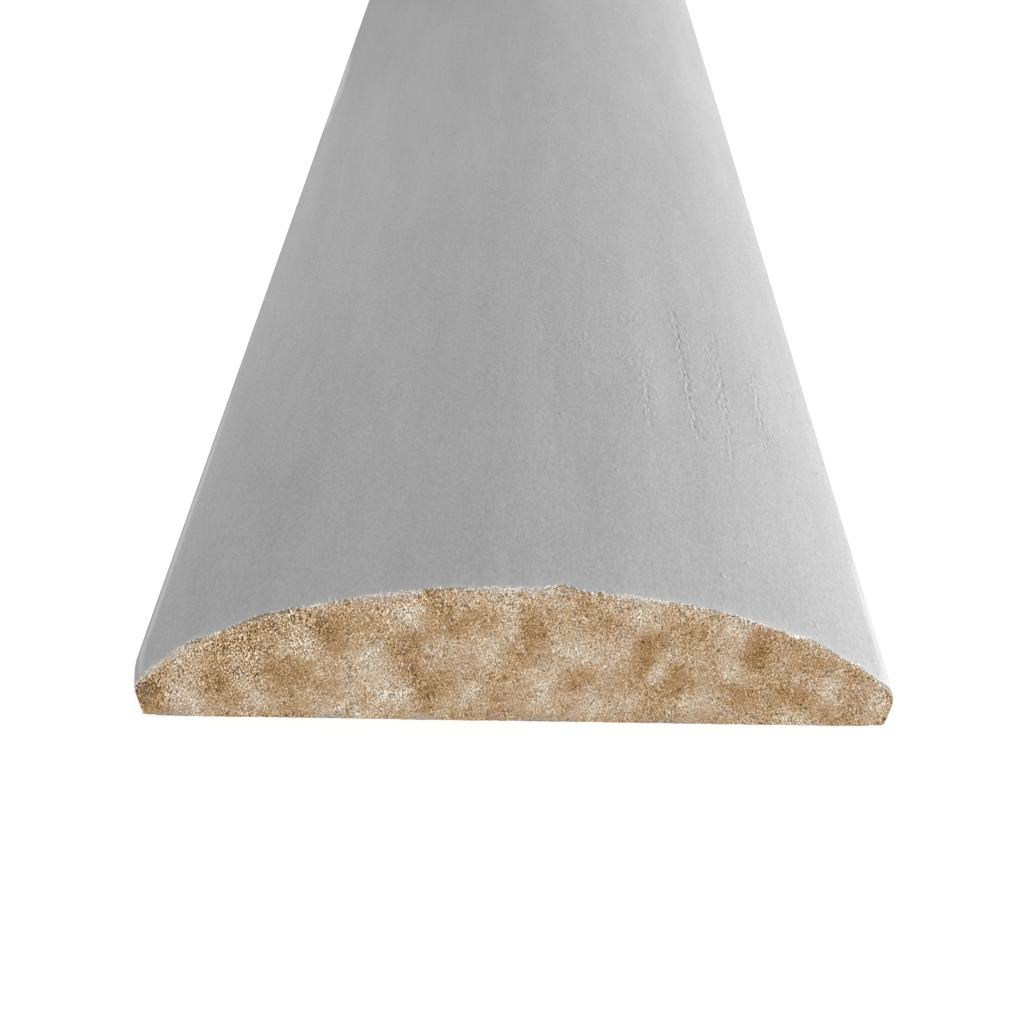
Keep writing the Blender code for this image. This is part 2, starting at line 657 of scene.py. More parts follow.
@dataclass(frozen=True)
class SawnBoardFinish:
    """Medium density fibreboard, sawn across: felted wood fibres in clumps, pale, tan and resin-dark.

    The eye gets a dull, furry face. Its fibres are drawn about twice as thick as wood fibres are, so that
    they show.
    """

    tones: tuple[tuple[float, str], ...] = (
        (0.0, "#5E421E"),
        (0.22, "#957242"),
        (0.4, "#AB8B62"),
        (0.56, "#BBA487"),
        (0.74, "#CDC1AE"),
        (1.0, "#ECE8E1"),
    )
    warm: str = "#B08D74"
    smear: str = "#979590"
    pit_shade: str = "#352314"
    loose: str = "#F4EEE2"
    roughness: float = 0.92
    ior: float = 1.45
    felt: float = 0.32 * MM
    fibre: float = 0.058 * MM
    drift: float = 1.7 * MM
    pinhole: float = 0.3 * MM
    grain_contrast: float = 2.0
    lay: tuple[float, float] = (35.0, -50.0)

    def material(self) -> bpy.types.Material:
        """Build the material: clumps from the mesh's own values, and felted fibres from noise.

        Returns:
            The material.
        """
        material, tree, shader = new_material("sawn_fibreboard")
        place = add_node(tree, "TexCoord", {}, "Object")
        clump, pit, crept, fur = (
            add_node(tree, "Attribute", {}, "Fac", attribute_name=name)
            for name in ("clump_tone", "pit", "primer_smear", "fur")
        )

        # Two sets of stretched noise cross each other, as felted fibres do
        strands = []
        for turn in self.lay:
            laid = {"Vector": place, "Rotation": (0, math.radians(turn), 0), "Scale": (1.0, 1.0, 0.65)}
            fibres = {"Vector": add_node(tree, "Mapping", laid), "Scale": 1 / self.fibre, "Roughness": 0.6}
            strands.append(add_node(tree, "TexNoise", fibres | {"Detail": 1.5}))
        pair = dict(enumerate(strands))
        crossed, under = (
            add_node(tree, "Math", pair, operation=kind) for kind in ("MAXIMUM", "MINIMUM")
        )
        fine = add_node(tree, "Math", {0: crossed, 1: under}, operation="ADD")
        felt = add_node(
            tree, "TexNoise", {"Vector": place, "Scale": 1 / self.felt, "Detail": 3.0, "Roughness": 0.7}
        )

        # Tone: the clump that the vertex lies in, broken up by felt and by single fibres, which stand out
        # most where the saw left the face furry
        centred = add_node(tree, "Math", {0: fine, 1: 1.0}, operation="SUBTRACT")
        gain = add_node(tree, "Math", {0: fur, 1: 1.35, 2: 0.64}, operation="MULTIPLY_ADD")
        rough = add_node(tree, "Math", {0: felt, 1: 0.55, 2: -0.275}, operation="MULTIPLY_ADD")
        clouded = add_node(tree, "Math", {0: clump, 1: rough}, operation="ADD")
        grained = add_node(tree, "Math", {0: centred, 1: gain}, operation="MULTIPLY")
        tone = add_node(tree, "Math", {0: grained, 1: 0.35, 2: clouded}, operation="MULTIPLY_ADD")
        stops = {level: linear(colour) for level, colour in self.tones}
        ramp = add_node(tree, "ValToRGB", {"Fac": tone}, stops=stops)
        lightness = add_node(
            tree, "Math", {0: grained, 1: self.grain_contrast, 2: 1.0}, operation="MULTIPLY_ADD"
        )
        colour = add_node(tree, "HueSaturation", {"Color": ramp, "Value": lightness})

        # Some clumps are pinker than others, and pale fibre ends stand out of the felt
        drift = add_node(
            tree, "TexNoise", {"Vector": place, "Scale": 1 / self.drift, "Detail": 2.0, "Roughness": 0.5}
        )
        pinker = add_node(
            tree, "MapRange", {"Value": drift, "From Min": 0.48, "From Max": 0.7, "To Max": 0.35}
        )
        ends = add_node(
            tree, "MapRange", {"Value": crossed, "From Min": 0.64, "From Max": 0.72, "To Max": 0.6}
        )

        # Painted shade darkens the gaps between the fibres, the pits and the pinholes, most of these in dark
        # or furry fibre
        gaps = add_node(
            tree, "MapRange", {"Value": under, "From Min": 0.38, "From Max": 0.28, "To Max": 0.5}
        )
        dark = {"Value": clouded, "From Min": 0.6, "From Max": 0.26, "To Min": 0.1, "To Max": 1.2}
        openness = add_node(tree, "MapRange", dark)
        furry = add_node(tree, "Math", {0: openness, 1: fur}, operation="MAXIMUM")
        holes = add_specks(tree, place, self.pinhole, 0.18, (0.35, 0.75))
        pinholes = add_node(tree, "Math", {0: holes, 1: furry}, operation="MULTIPLY")
        deeper = add_node(tree, "Math", {0: gaps, 1: pit}, operation="MAXIMUM")
        deepest = add_node(tree, "Math", {0: deeper, 1: pinholes}, operation="MAXIMUM")

        # Primer that crept round the foot of the cut holds where it is thick
        broken = add_node(tree, "Math", {0: crept, 1: centred}, operation="ADD")
        held = add_node(tree, "Math", {0: broken, 1: crept}, operation="MULTIPLY", use_clamp=True)
        # The darkest tint is painted shade in the gaps, pits and pinholes
        tints = ((pinker, self.warm), (ends, self.loose), (deepest, self.pit_shade), (held, self.smear))
        for share, tint in tints:
            colour = add_node(tree, "Mix", {0: share, 6: colour, 7: linear(tint)}, 2, data_type="RGBA")
        height = add_node(tree, "Math", {0: fine, 1: deepest}, operation="SUBTRACT")
        normal = add_node(tree, "Bump", {"Height": height, "Strength": 0.9, "Distance": 0.05 * MM})
        plain = {"Base Color": colour, "Roughness": self.roughness, "IOR": self.ior}
        fill_inputs(tree, shader, plain | {"Normal": normal})
        return material


@dataclass(frozen=True)
class PlanedBoardFinish:
    """Medium density fibreboard as the planer leaves it.

    The eye gets a smooth, tight brown face, a little less dull than the sawn one.
    """

    dark: str = "#8F7350"
    light: str = "#B09471"
    overspray: str = "#AEADA9"
    roughness: float = 0.75
    ior: float = 1.45
    felt: float = 0.3 * MM
    spray: float = 1.1 * MM

    def material(self) -> bpy.types.Material:
        """Build the material: even brown felt, with dusty overspray towards the long edges.

        Returns:
            The material.
        """
        material, tree, shader = new_material("planed_fibreboard")
        place = add_node(tree, "TexCoord", {}, "Object")
        felt = add_node(
            tree, "TexNoise", {"Vector": place, "Scale": 1 / self.felt, "Detail": 4.0, "Roughness": 0.7}
        )
        stops = {0.35: linear(self.dark), 0.65: linear(self.light)}
        colour = add_node(tree, "ValToRGB", {"Fac": felt}, stops=stops)
        patchy = add_node(
            tree, "TexNoise", {"Vector": place, "Scale": 1 / self.spray, "Detail": 3.0, "Roughness": 0.6}
        )
        near = add_node(tree, "Attribute", {}, "Fac", attribute_name="primer_smear")
        reach = add_node(tree, "Math", {0: near, 1: patchy}, operation="ADD")
        dusted = add_node(
            tree, "MapRange", {"Value": reach, "From Min": 0.75, "From Max": 1.2, "To Max": 0.85}
        )
        dusty = {0: dusted, 6: colour, 7: linear(self.overspray)}
        colour = add_node(tree, "Mix", dusty, 2, data_type="RGBA")
        normal = add_node(tree, "Bump", {"Height": felt, "Strength": 0.4, "Distance": 0.02 * MM})
        plain = {"Base Color": colour, "Roughness": self.roughness, "IOR": self.ior}
        fill_inputs(tree, shader, plain | {"Normal": normal})
        return material


@dataclass(frozen=True)
class FuzzFinish:
    """Loose wood fibre and broken primer: pale, dry and matt, each strand its own tone."""

    dark: str = "#A88A62"
    pale: str = "#F8F6F2"
    roughness: float = 0.95
    ior: float = 1.45

    def material(self) -> bpy.types.Material:
        """Build the material, whose tone is each strand's own.

        Returns:
            The material.
        """
        material, tree, shader = new_material("loose_fibre")
        own = add_node(tree, "Attribute", {}, "Fac", attribute_name="strand_tone")
        stops = {0.0: linear(self.dark), 1.0: linear(self.pale)}
        colour = add_node(tree, "ValToRGB", {"Fac": own}, stops=stops)
        fill_inputs(tree, shader, {"Base Color": colour, "Roughness": self.roughness, "IOR": self.ior})
        return material


# The strip's pieces


@dataclass(frozen=True)
class CornerWear:
    """The near end's two upright edges, rubbed in towards the cut."""

    strip: Strip
    left: float = 0.32 * MM
    right: float = 0.05 * MM
    along_reach: float = 2.1 * MM
    across_reach: float = 3.0 * MM
    growth_power: float = 1.45

    def rub(self, vertices: np.ndarray) -> None:
        """Move vertices in from both edges of the near end.

        The move is the edge's wear, times a power of the share of the way to the cut, times a smooth step
        from the across reach out to the edge.

        Args:
            vertices: Points of a mesh, changed in place.
        """
        across, along = vertices[:, 0], vertices[:, 1] - self.strip.near
        growth = np.clip(1 - along / self.along_reach, 0, 1) ** self.growth_power
        half = self.strip.section.width / 2
        outer = smoothstep(half - self.across_reach, half, np.abs(across))
        vertices[:, 0] += np.where(across < 0, self.left, -self.right) * growth * outer


@dataclass(frozen=True)
class Clump:
    """A patch of paler or darker fibre on the near sawn end.

    x is measured from the strip's middle and z from its back; tone is from -1, dark, to 1, pale.
    """

    x: float
    z: float
    reach: float
    tone: float


@dataclass(frozen=True)
class SawnEnd:
    """What one sawn end looks like: its clumps, its pits and its uneven face.

    A smear is the middle and the half length of some primer that crept round the foot of the cut.
    """

    end: End
    seed: int
    clumps: tuple[Clump, ...] = ()
    smears: tuple[tuple[float, float], ...] = ()
    middle_tone: float = 0.48
    clump_tone: float = 0.26
    stray_tone: float = 0.22
    warp: float = 0.45 * MM
    rough_height: float = 0.04 * MM
    pit_count: int = 70
    pit_reach: tuple[float, float] = (0.045 * MM, 0.06 * MM)
    pit_depth: tuple[float, float] = (0.05 * MM, 0.12 * MM)
    smear_height: float = 0.55 * MM
    fur_reach: float = 0.9 * MM

    def tone(self, x: np.ndarray, z: np.ndarray) -> np.ndarray:
        """Tone of the fibre at each point: a middle tone plus its clumps' bells plus stray noise.

        The clumps are drawn on a place that noise has moved a little, so that their outlines are ragged.

        Args:
            x: Distances from the strip's middle.
            z: Heights above its back.

        Returns:
            Tones, about 0 for the darkest and 1 for the palest.
        """
        place = np.stack([x, z], -1)
        bent_x = x + self.warp * fractal_noise(place, 0.9 * MM, 4, self.seed + 40, 0.6)
        bent_z = z + self.warp * fractal_noise(place, 0.9 * MM, 4, self.seed + 50, 0.6)
        total = self.middle_tone + self.stray_tone * fractal_noise(place, 1.5 * MM, 4, self.seed, 0.6)
        for clump in self.clumps:
            off = np.hypot(bent_x - clump.x, bent_z - clump.z)
            total += self.clump_tone * clump.tone * bell(off, 1.1 * clump.reach)
        return total

    def relief(self, x: np.ndarray, z: np.ndarray, tone: np.ndarray) -> tuple[np.ndarray, np.ndarray]:
        """How far the face stands out at each point, and how deep in a pit it is.

        Felted noise makes the face uneven. Pits are round bells sunk into it, more of them in dark fibre.

        Args:
            x: Distances from the strip's middle.
            z: Heights above its back.
            tone: Tone of the fibre at each point.

        Returns:
            Heights out of the plane of the cut, and a share from 0 to 1 of each pit's depth.
        """
        height = self.rough_height * fractal_noise(np.stack([x, z], -1), 0.55 * MM, 4, self.seed + 10, 0.75)
        pits = np.zeros_like(x)
        random = np.random.default_rng(self.seed)
        weight = np.clip(1.15 - tone, 0.05, 1.0).ravel() ** 3
        chosen = random.choice(x.size, self.pit_count, replace=False, p=weight / weight.sum())
        reaches = random.uniform(*self.pit_reach, self.pit_count)
        depths = random.uniform(*self.pit_depth, self.pit_count)
        for spot, reach, depth in zip(chosen, reaches, depths, strict=True):
            off = np.hypot(x - x.flat[spot], z - z.flat[spot])
            inside = off < 3 * reach
            shape = bell(off[inside], reach)
            height[inside] -= depth * shape
            pits[inside] = np.maximum(pits[inside], shape * depth / self.pit_depth[1])
        return height, pits

    def fur(self, x: np.ndarray, z: np.ndarray, below_crown: np.ndarray) -> np.ndarray:
        """How furry the saw left the face: most under the crown, and in patches elsewhere.

        It is an exponential of the depth below the crown plus patches of noise, and both grow leftwards.

        Args:
            x: Distances from the strip's middle.
            z: Heights above its back.
            below_crown: Depths below the crown.

        Returns:
            The share of fur at each point, from 0 to 1.
        """
        patches = smoothstep(-0.15, 0.75, fractal_noise(np.stack([x, z], -1), 2.2 * MM, 3, self.seed + 80))
        leftward = smoothstep(4 * MM, -14 * MM, x)
        under = np.exp(-below_crown / self.fur_reach)
        return np.clip((0.3 + 0.6 * leftward) * under + (0.3 + 0.4 * leftward) * patches, 0, 1)

    def smear(self, x: np.ndarray, z: np.ndarray) -> np.ndarray:
        """Primer that crept round the foot of the cut: smooth steps along and up, made ragged by noise.

        Args:
            x: Distances from the strip's middle.
            z: Heights above its back.

        Returns:
            The share of primer at each point, from 0 to 1.
        """
        ragged = fractal_noise(np.stack([x, z], -1), (0.7 * MM, 0.35 * MM), 4, self.seed + 70, 0.8)
        total = np.zeros_like(x)
        for middle, half_length in self.smears:
            along = 1 - smoothstep(0.5, 1.15, np.abs(x - middle) / half_length + 0.6 * ragged)
            up = 1 - smoothstep(0.1, 1.1, z / self.smear_height + 0.7 * ragged)
            total = np.maximum(total, along * up)
        return total * np.clip(0.65 + 0.6 * ragged, 0, 0.85)


@dataclass(frozen=True)
class FibreboardCore:
    """The strip's fibreboard: its planed back, its two sawn ends, and the sides that the primer hides.

    The sides are rings of vertices at set steps from each cut.
    """

    strip: Strip
    ends: tuple[SawnEnd, SawnEnd]
    coat: float = 0.055 * MM
    bare_margin: float = 1.2 * MM
    grain: float = 0.07 * MM
    ring_steps: tuple[float, ...] = (0.12 * MM, 0.4 * MM, 0.9 * MM, 1.5 * MM, 2.1 * MM, 20.0 * MM)
    overspray: float = 5.0 * MM

    def outline(self, distance: np.ndarray) -> np.ndarray:
        """Points of the core's own outline.

        It is the section's, moved in along its normals by the coat's depth, but not on the bare back.

        Args:
            distance: Distances round the section from the middle of its back.

        Returns:
            Points with x and z in the last dimension.
        """
        section = self.strip.section
        off_middle = np.minimum(distance % section.girth, -distance % section.girth)
        inset = self.coat * smoothstep(section.back_end - self.bare_margin, section.back_end, off_middle)
        point, normal = section.at(distance)
        return point - normal * inset[..., None]

    def end_grid(self) -> np.ndarray:
        """Points over the section, as a Coons patch.

        The patch blends its four boundary curves: the back, the crown, and the two edges. Each point is the
        mix of back and crown, plus the mix of left and right edge, less the mix of the four corners.

        Returns:
            Points with x and z in the last dimension, in rows from the back up and columns from the left.
        """
        section = self.strip.section
        low, high = section.lower_corner, section.upper_corner
        columns = round(section.width / self.grain)
        rows = round(section.thickness / self.grain)
        across = np.linspace(0, 1, columns + 1)[None, :, None]
        up = np.linspace(0, 1, rows + 1)[:, None, None]
        back = self.outline(np.linspace(-low, low, columns + 1))[None]
        crown = self.outline(np.linspace(section.girth - high, high, columns + 1))[None]
        left = self.outline(np.linspace(-low, -high, rows + 1))[:, None]
        right = self.outline(np.linspace(low, high, rows + 1))[:, None]
        corners = (1 - up) * ((1 - across) * back[:, :1] + across * back[:, -1:])
        corners = corners + up * ((1 - across) * crown[:, :1] + across * crown[:, -1:])
        return (1 - up) * back + up * crown + (1 - across) * left + across * right - corners

    def surface(self) -> Surface:
        """Both ends and the four sides, as one closed mesh.

        Returns:
            The surface, with tone, pits, primer smears and fur for each vertex.
        """
        grid = self.end_grid()
        x, z = grid[..., 0], grid[..., 1]
        numbers = np.arange(x.size).reshape(x.shape)
        points, values, tones = [], [], []
        for sawn in self.ends:
            tone = sawn.tone(x, z)
            height, pit = sawn.relief(x, z, tone)
            y = self.strip.cut(sawn.end) + sawn.end.value * height
            points.append(np.stack([x, y, z], -1).reshape(-1, 3))
            values.append(np.reshape([tone, pit, sawn.smear(x, z), sawn.fur(x, z, z[-1] - z)], (4, -1)))
            tones.append(tone.ravel())

        # The rim runs anticlockwise from the back's left corner, and the sides join one rim to the other
        rim = np.concatenate([numbers[0, :-1], numbers[:-1, -1], numbers[-1, :0:-1], numbers[:0:-1, 0]])
        steps = np.array(self.ring_steps)
        rings = np.concatenate([self.strip.near + steps, self.strip.far - steps[::-1]])
        flat = grid.reshape(-1, 2)[rim]
        sides = np.empty((len(rings), len(rim), 3))
        sides[..., 0], sides[..., 2] = flat[:, 0], flat[:, 1]
        sides[..., 1] = rings[:, None]
        points.append(sides.reshape(-1, 3))

        # The sides go on in the tones of the ends' rims, without pits, all furry, with the back's overspray
        side_values = np.ones((4, len(rings), len(rim)))
        side_values[0] = np.repeat([tone[rim] for tone in tones], len(steps), axis=0)
        side_values[1] = 0
        side_values[2] = np.exp((np.abs(flat[:, 0]) - self.strip.section.width / 2) / self.overspray)
        values.append(side_values.reshape(4, -1))
        made = Surface("fibreboard_core", np.concatenate(points))
        names = ("clump_tone", "pit", "primer_smear", "fur")
        made.values = dict(zip(names, np.concatenate(values, axis=1), strict=True))
        shares = unit_grid(*x.shape)
        made.add(quads(numbers), 0, MapField(0.01, 0.70, 0.99, 0.99).places(*shares))
        made.add(quads(numbers[:, ::-1] + x.size), 0, MapField(0.01, 0.40, 0.99, 0.69).places(*shares))
        middle = 2 * x.size + np.arange(len(rings) * len(rim)).reshape(len(rings), len(rim))
        self._add_sides(made, np.concatenate([rim[None], middle, rim[None] + x.size]), x.shape)
        return made

    def _add_sides(self, made: Surface, loops: np.ndarray, shape: tuple[int, int]) -> None:
        """Join the rings of vertices along the strip: the back, right edge, crown and left edge.

        Args:
            made: The surface that gets the faces.
            loops: Vertex numbers of each ring, one ring to a row, from the near end to the far one.
            shape: Vertices up and across an end.
        """
        closed = np.concatenate([loops, loops[:, :1]], axis=1)
        stops = np.cumsum([0, shape[1] - 1, shape[0] - 1, shape[1] - 1, shape[0] - 1])
        for side, (low, high) in enumerate(((0.14, 0.39), (0.105, 0.135), (0.045, 0.095), (0.01, 0.04))):
            band = closed[:, stops[side] : stops[side + 1] + 1].T
            places = MapField(0.01, low, 0.99, high).places(*unit_grid(*band.shape))
            made.add(quads(band), 0 if side else 1, places)

    def build(self, wear: CornerWear) -> bpy.types.Object:
        """Build the core, rubbed at its corners, sawn and planed, in the place of the CAD node.

        Args:
            wear: How the near end's corners are rubbed.

        Returns:
            The piece.
        """
        made = self.surface()
        wear.rub(made.vertices)
        piece = made.build([SawnBoardFinish().material(), PlanedBoardFinish().material()], Slot.FIBREBOARD)
        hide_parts(NODE)
        return piece


@dataclass(frozen=True)
class Groove:
    """A lengthwise chain of short, shallow tear-outs under the primer.

    arc is its place across the crown at its near end, measured along the surface from the crown's top;
    start and stop are distances from the near end, and drift is how far across it goes between them.
    """

    arc: float
    start: float
    stop: float
    drift: float
    depth: float
    count: int
    seed: int
    reach: tuple[float, float] = (0.042 * MM, 0.08 * MM)
    length: tuple[float, float] = (0.08 * MM, 0.2 * MM)
    jitter: float = 0.08 * MM
    deepest: float = 0.042 * MM

    def height(self, arc: np.ndarray, along: np.ndarray) -> np.ndarray:
        """Depth of the chain at each point, as a negative height, with a low burr beside each pit.

        Each pit is a bell across the chain times a bell along it. A hyperbolic tangent of their sum keeps
        it within the coat.

        Args:
            arc: Places across the crown.
            along: Distances from the near end.

        Returns:
            Heights to add to the coat.
        """
        random = np.random.default_rng(self.seed)
        total = np.zeros_like(arc)
        for share in np.sort(random.uniform(0, 1, self.count)):
            middle = self.start + share * (self.stop - self.start)
            line = self.arc + self.drift * share + random.normal(0, self.jitter)
            reach = random.uniform(*self.reach)
            length = random.uniform(*self.length)
            depth = self.depth * random.uniform(0.35, 1.0)
            near = (np.abs(arc - line) < 5 * reach) & (np.abs(along - middle) < 3 * length)
            off = arc[near] - line
            shape = -bell(off, reach) + 0.45 * bell(off + 2 * reach, 0.8 * reach)
            total[near] += depth * shape * bell(along[near] - middle, length)
        return self.deepest * np.tanh(total / self.deepest)


@dataclass(frozen=True)
class NibPatch:
    """A cluster of fine grit under the primer, placed as a groove is."""

    arc: float
    along: float
    reach: float
    strength: float


@dataclass(frozen=True)
class ShadingStreak:
    """A paler or darker streak on the primer, placed as a groove is; a negative strength is a darker one. On
    the left shoulder the pair are painted highlight and painted shade.
    """

    arc: float
    along: float
    reach: float
    length: float
    strength: float


@dataclass(frozen=True)
class PrimerCoat:
    """The coat of primer: a closed thin shell over the crown and edges, frayed at both saw cuts."""

    strip: Strip
    grooves: tuple[Groove, ...]
    nibs: tuple[NibPatch, ...]
    shading_streaks: tuple[ShadingStreak, ...]
    thickness: float = 0.075 * MM
    start: float = 0.7 * MM
    seed: int = 11

    # Gaps between columns of vertices: on the plain crown, over a groove and its margin, at the edges
    column_gap: float = 0.2 * MM
    groove_gap: float = 0.042 * MM
    groove_margin: float = 0.24 * MM
    edge_gap: float = 0.1 * MM

    # Gaps between the rows: in the near part, over the grooves and in the far part
    near_gap: float = 0.36 * MM
    groove_row_gap: float = 0.145 * MM
    far_gap: float = 1.2 * MM
    near_reach: float = 38 * MM

    # The inner face has every column of the outer one, but only every so many rows
    inner_stride: int = 12

    # How far the rim sinks at a cut, how far the fray reaches along the strip, and how deep its chips are
    rim_sink: float = 0.035 * MM
    fray_reach: float = 1.2 * MM
    fray_depth: float = 0.09 * MM
    chip_depth: float = 0.5 * MM

    def _column_gap(self, distance: np.ndarray) -> np.ndarray:
        """Wanted gap between columns, narrower over the grooves and at the edges.

        Args:
            distance: Distances round the outline.

        Returns:
            The gap at each of them.
        """
        section = self.strip.section
        arc = section.girth / 2 - distance
        wide = np.full(distance.shape, self.column_gap)
        for groove in self.grooves:
            middle = groove.arc + groove.drift / 2
            wide[np.abs(arc - middle) < abs(groove.drift) / 2 + self.groove_margin] = self.groove_gap
        side = np.minimum(distance, section.girth - distance)
        wide[side < section.upper_corner + 0.4 * MM] = self.edge_gap
        return wide

    def _row_gap(self, along: np.ndarray) -> np.ndarray:
        """Wanted gap between rows, narrower in the near part, over the grooves and at both cuts.

        Args:
            along: Distances from the near end.

        Returns:
            The gap at each of them.
        """
        growth = smoothstep(self.near_reach, 2.2 * self.near_reach, along)
        wide = self.near_gap + (self.far_gap - self.near_gap) * growth
        start = min(groove.start for groove in self.grooves)
        stop = max(groove.stop for groove in self.grooves)
        wide[(along > start) & (along < stop)] = self.groove_row_gap
        return np.minimum(wide, 0.05 * MM + 0.22 * np.minimum(along, self.strip.length - along))

    @cached_property
    def columns(self) -> np.ndarray:
        """Distances round the outline, from the back's one margin to the other."""
        first = self.strip.section.back_end - self.start
        return graded(first, self.strip.section.girth - first, self._column_gap)

    @cached_property
    def rows(self) -> np.ndarray:
        """Distances from the near end, from cut to cut."""
        return graded(0.0, self.strip.length, self._row_gap)

    def relief(self, arc: np.ndarray, along: np.ndarray) -> np.ndarray:
        """Height of the coat above the true section: orange peel, faint lengthwise drag and grooves.

        Args:
            arc: Places across the crown, from its top.
            along: Distances from the near end.

        Returns:
            The height at each point.
        """
        place = np.stack([arc, along], -1)
        height = 0.004 * MM * fractal_noise(place, (1.0 * MM, 3.0 * MM), 2, self.seed)
        height += 0.003 * MM * fractal_noise(place, (0.8 * MM, 16 * MM), 2, self.seed + 5)
        for groove in self.grooves:
            height += groove.height(arc, along)
        return height

    def nib_mask(self, arc: np.ndarray, along: np.ndarray) -> np.ndarray:
        """Where grit shows: a bell at each patch, and a weaker one along each groove.

        Args:
            arc: Places across the crown, from its top.
            along: Distances from the near end.

        Returns:
            The mask, from 0 to 1.
        """
        total = np.zeros_like(arc)
        for nib in self.nibs:
            off = np.hypot(arc - nib.arc, (along - nib.along) / 1.6)
            total = np.maximum(total, nib.strength * bell(off, nib.reach))
        for groove in self.grooves:
            inside = smoothstep(groove.start, groove.start + 2 * MM, along)
            inside *= 1 - smoothstep(groove.stop - 2 * MM, groove.stop, along)
            total = np.maximum(total, 0.5 * inside * bell(arc - groove.arc, 0.5 * MM))
        return total

    def shading_streak_mask(self, arc: np.ndarray, along: np.ndarray, sign: float) -> np.ndarray:
        """Where the primer is tinted paler or darker, painted highlight and painted shade on the left
        shoulder: ragged ellipses with soft edges.

        Args:
            arc: Places across the crown, from its top.
            along: Distances from the near end.
            sign: 1 for the paler streaks and -1 for the darker ones.

        Returns:
            The mask, from 0 to 1.
        """
        total = np.zeros_like(arc)
        ragged = fractal_noise(np.stack([arc, along], -1), (0.6 * MM, 3 * MM), 3, self.seed + 60)
        for shading_streak in self.shading_streaks:
            off = np.hypot((arc - shading_streak.arc) / shading_streak.reach, (along - shading_streak.along) / shading_streak.length)
            shape = (1 - smoothstep(0.6, 1.1, off + 0.35 * ragged)) * max(0.0, sign * shading_streak.strength)
            total = np.maximum(total, shape)
        return total

    def fray(self, distance: np.ndarray, end: End) -> np.ndarray:
        """How far the coat's edge at one cut stands back: an even depth, fine noise, and a few deep chips.

        Args:
            distance: Distances round the outline.
            end: Which cut.

        Returns:
            The depth at each of them.
        """
        line = distance[..., None]
        seed = self.seed + 25 + 5 * end.value
        ragged = self.fray_depth * fractal_noise(line, 0.6 * MM, 3, seed, 0.8)
        chip = np.clip(fractal_noise(line, 1.6 * MM, 2, seed + 3) - 0.1, 0, 1)
        return self.fray_depth + ragged + self.chip_depth * chip

    def surface(self) -> Surface:
        """The shell: its outer face, a coarser inner face, and the rims that close it.

        Returns:
            The surface, with the broken edge, the nibs, and the paler and darker streaks, painted highlight
            and shade on the left shoulder, for each vertex.
        """
        distance, along = np.meshgrid(self.columns, self.rows)
        arc = self.strip.section.girth / 2 - distance
        point, normal = self.strip.section.at(distance)
        to_far = self.strip.length - along
        cut = np.minimum(along, to_far)

        # The relief fades out at the back's lips, and the rim sinks and stands back at each cut
        height = self.relief(arc, along) - self.rim_sink * np.exp(-cut / (0.05 * MM))
        to_lip = np.minimum(distance - distance[:, :1], distance[:, -1:] - distance)
        height *= smoothstep(0.0, 1.0 * MM, to_lip)
        back_near = self.fray(distance, End.NEAR) * np.exp(-along / self.fray_reach)
        back_far = self.fray(distance, End.FAR) * np.exp(-to_far / self.fray_reach)
        y = self.strip.near + along + back_near - back_far

        # The inner face keeps every column but only every few rows
        kept = np.unique(np.r_[0 : len(self.rows) : self.inner_stride, len(self.rows) - 1])
        faces = [point + normal * height[..., None], (point - normal * self.thickness)[kept]]
        points = [
            np.stack([face[..., 0], depth, face[..., 1]], -1).reshape(-1, 3)
            for face, depth in zip(faces, (y, y[kept]), strict=True)
        ]
        made = Surface("primer_coat", np.concatenate(points))
        edge = 0.32 * np.exp(-cut / (0.12 * MM)) + 0.22 * np.exp(-cut / (0.6 * MM))
        patchy = 0.6 + 0.9 * fractal_noise(np.stack([arc, along], -1), 1.0 * MM, 4, 3, 0.8)
        shown = {
            "cut_edge": np.clip(edge * np.clip(patchy, 0, 1), 0, 1),
            "nib_mask": self.nib_mask(arc, along),
            "shading_streak": self.shading_streak_mask(arc, along, 1.0),
            "dark_streak_shade": self.shading_streak_mask(arc, along, -1.0),
        }
        hidden = np.zeros(len(kept) * arc.shape[1])
        made.values = {name: np.concatenate([value.ravel(), hidden]) for name, value in shown.items()}
        inside = arc.size + np.arange(hidden.size).reshape(len(kept), -1)
        self._add_faces(made, np.arange(arc.size).reshape(arc.shape), inside, kept)
        return made

    def _add_faces(self, made: Surface, outside: np.ndarray, inside: np.ndarray, kept: np.ndarray) -> None:
        """Add the outer face in two map bands, the inner face, the two cut rims and the two back lips.

        Args:
            made: The surface that gets the faces.
            outside: Vertex numbers of the outer face, a row along each line round the section.
            inside: Vertex numbers of the inner face.
            kept: Which rows of the outer face the inner face has.
        """
        half, last = len(outside) // 2, len(outside) - 1
        share = (self.columns - self.columns[0]) / np.ptp(self.columns)
        for start, stop, low, high in ((0, half, 0.52, 0.94), (half, last, 0.08, 0.5)):
            rows = self.rows[start : stop + 1]
            up, across = np.meshgrid(share, (rows - rows[0]) / np.ptp(rows), indexing="ij")
            places = MapField(0.01, low, 0.99, high).places(across, up)
            made.add(quads(outside[start : stop + 1].T), 0, places)
        made.add(quads(inside), 0, MapField(0.01, 0.01, 0.6, 0.07).places(*unit_grid(*inside.shape)))
        for rim, low in (((inside[0], outside[0]), 0.95), ((outside[-1], inside[-1]), 0.97)):
            band = np.stack(rim).T
            across, up = unit_grid(*band.shape)
            made.add(quads(band), 0, MapField(0.01, low, 0.99, low + 0.015).places(up, across))
        for side, order in ((0, -1), (-1, 1)):
            for step in range(len(kept) - 1):
                run = outside[kept[step] : kept[step + 1] + 1, side]
                loop = np.concatenate([run, inside[step : step + 2, side][::-1]])[None, ::order]
                made.add(loop, 0, np.full((*loop.shape, 2), 0.005))

    def build(self, wear: CornerWear) -> bpy.types.Object:
        """Build the coat, rubbed at its corners, in matt primer.

        Args:
            wear: How the near end's corners are rubbed.

        Returns:
            The piece.
        """
        made = self.surface()
        wear.rub(made.vertices)
        return made.build([PrimerFinish().material()], Slot.PRIMER)


